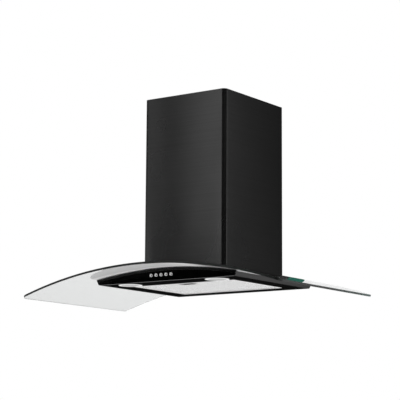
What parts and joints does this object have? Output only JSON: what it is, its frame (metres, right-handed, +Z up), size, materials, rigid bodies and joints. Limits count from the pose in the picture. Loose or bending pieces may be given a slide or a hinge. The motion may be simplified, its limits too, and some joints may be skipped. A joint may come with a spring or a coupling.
{
  "type": "curved glass range hood",
  "caption": "Wall-mounted chimney range hood with a curved glass canopy, push buttons, lamps, a swing-down grease filter, a blower with duct collar and a telescopic chimney cover.",
  "frame": {"origin": "on the wall plane, midway between the two keyholes that the hood hangs by", "axes": "+Z up, +Y into the wall, so that the cook stands on the -Y side; +X to the right of a cook who faces the hood"},
  "size_m": [0.898, 0.5, 0.5958],
  "materials": {
    "black_steel": "black-coated brushed steel, satin",
    "gloss_black": "gloss black control strip",
    "tinted_glass": "clear toughened glass with a faint green edge",
    "clear_silicone": "translucent silicone",
    "grey_foam": "closed-cell foam",
    "chrome": "bright chrome",
    "frosted_lens": "frosted diffuser",
    "cast_aluminium": "die cast, plain",
    "spring_steel": "spring steel, plain",
    "filter_aluminium": "bright mill finish",
    "latch_aluminium": "satin",
    "zinc_fastener": "zinc plated",
    "latch_black": "moulded, satin black",
    "white_nylon": "natural nylon",
    "black_plastic": "moulded, fine texture",
    "circuit_board": "green circuit board",
    "galvanised_steel": "galvanised, spangled",
    "shaft_steel": "ground steel",
    "motor_casing": "painted motor casing",
    "capacitor_white": "moulded, plain",
    "grey_plastic": "moulded, fine texture"
  },
  "bodies": {
    "hood": {"canopy_shell": "black_steel", "underside_panel": "black_steel", "lower_chimney": "black_steel", "fascia_panel": "gloss_black", "glass_canopy": "tinted_glass", "glass_gasket": "clear_silicone", "throat_gasket": "clear_silicone", "base_seal": "grey_foam", "lamp_rings": "chrome", "lamp_lenses": "frosted_lens", "lamp_housings": "cast_aluminium", "lamp_clips": "spring_steel", "glass_bolts": "zinc_fastener", "glass_nuts": "zinc_fastener", "collar_screws": "zinc_fastener", "damper_pin": "zinc_fastener", "glass_bushes": "white_nylon", "switch_housing": "black_plastic", "outlet_collar": "black_plastic", "cable_gland": "black_plastic", "switch_board": "circuit_board", "motor_box": "galvanised_steel", "scroll_band": "galvanised_steel", "scroll_side_left": "galvanised_steel", "scroll_side_right": "galvanised_steel", "inlet_ring": "galvanised_steel", "motor_bracket": "galvanised_steel", "base_ring": "galvanised_steel", "cover_bracket_left": "galvanised_steel", "cover_bracket_right": "galvanised_steel", "motor_stator": "motor_casing", "capacitor": "capacitor_white", "control_box": "grey_plastic", "control_box_cover": "grey_plastic"},
    "upper_chimney": {"upper_chimney": "black_steel", "upper_wall_bracket": "galvanised_steel"},
    "filter": {"filter_frame": "filter_aluminium", "filter_net_lower": "filter_aluminium", "filter_net_upper": "filter_aluminium", "filter_core": "filter_aluminium", "filter_pins": "zinc_fastener", "latch_housing": "latch_aluminium"},
    "filter_latch": {"filter_latch": "latch_black"},
    "impeller": {"impeller": "galvanised_steel", "impeller_blades": "galvanised_steel", "motor_shaft": "shaft_steel"},
    "flap_front": {"flap_front": "black_plastic"},
    "flap_rear": {"flap_rear": "black_plastic"},
    "button_1": {"button_1": "chrome"},
    "button_2": {"button_2": "chrome"},
    "button_3": {"button_3": "chrome"},
    "button_4": {"button_4": "chrome"},
    "button_5": {"button_5": "chrome"}
  },
  "joints": [
    {"name": "chimney_slide", "type": "slide", "parent": "hood", "child": "upper_chimney", "axis": [0, 0, 1], "range_m": [0, 0.36]},
    {"name": "filter_hinge", "type": "hinge", "parent": "hood", "child": "filter", "pos_m": [0, -0.0545, -0.2851], "axis": [1, 0, 0], "range_deg": [0, 75]},
    {"name": "latch_slide", "type": "slide", "parent": "filter", "child": "filter_latch", "axis": [0, 1, 0], "range_m": [-0.0025, 0.0025]},
    {"name": "button_1_press", "type": "slide", "parent": "hood", "child": "button_1", "axis": [0, 1, 0], "range_m": [0, 0.0025], "stiffness_N_per_m": 400},
    {"name": "button_2_press", "type": "slide", "parent": "hood", "child": "button_2", "axis": [0, 1, 0], "range_m": [0, 0.0025], "stiffness_N_per_m": 400},
    {"name": "button_3_press", "type": "slide", "parent": "hood", "child": "button_3", "axis": [0, 1, 0], "range_m": [0, 0.0025], "stiffness_N_per_m": 400},
    {"name": "button_4_press", "type": "slide", "parent": "hood", "child": "button_4", "axis": [0, 1, 0], "range_m": [0, 0.0025], "stiffness_N_per_m": 400},
    {"name": "button_5_press", "type": "slide", "parent": "hood", "child": "button_5", "axis": [0, 1, 0], "range_m": [0, 0.0025], "stiffness_N_per_m": 400},
    {"name": "impeller_spin", "type": "hinge", "parent": "hood", "child": "impeller", "pos_m": [0, -0.106, -0.11], "axis": [1, 0, 0], "continuous": true},
    {"name": "flap_front_hinge", "type": "hinge", "parent": "hood", "child": "flap_front", "pos_m": [0, -0.166, 0.062], "axis": [-1, 0, 0], "range_deg": [0, 75]},
    {"name": "flap_rear_hinge", "type": "hinge", "parent": "hood", "child": "flap_rear", "pos_m": [0, -0.166, 0.062], "axis": [1, 0, 0], "range_deg": [0, 75]}
  ]
}
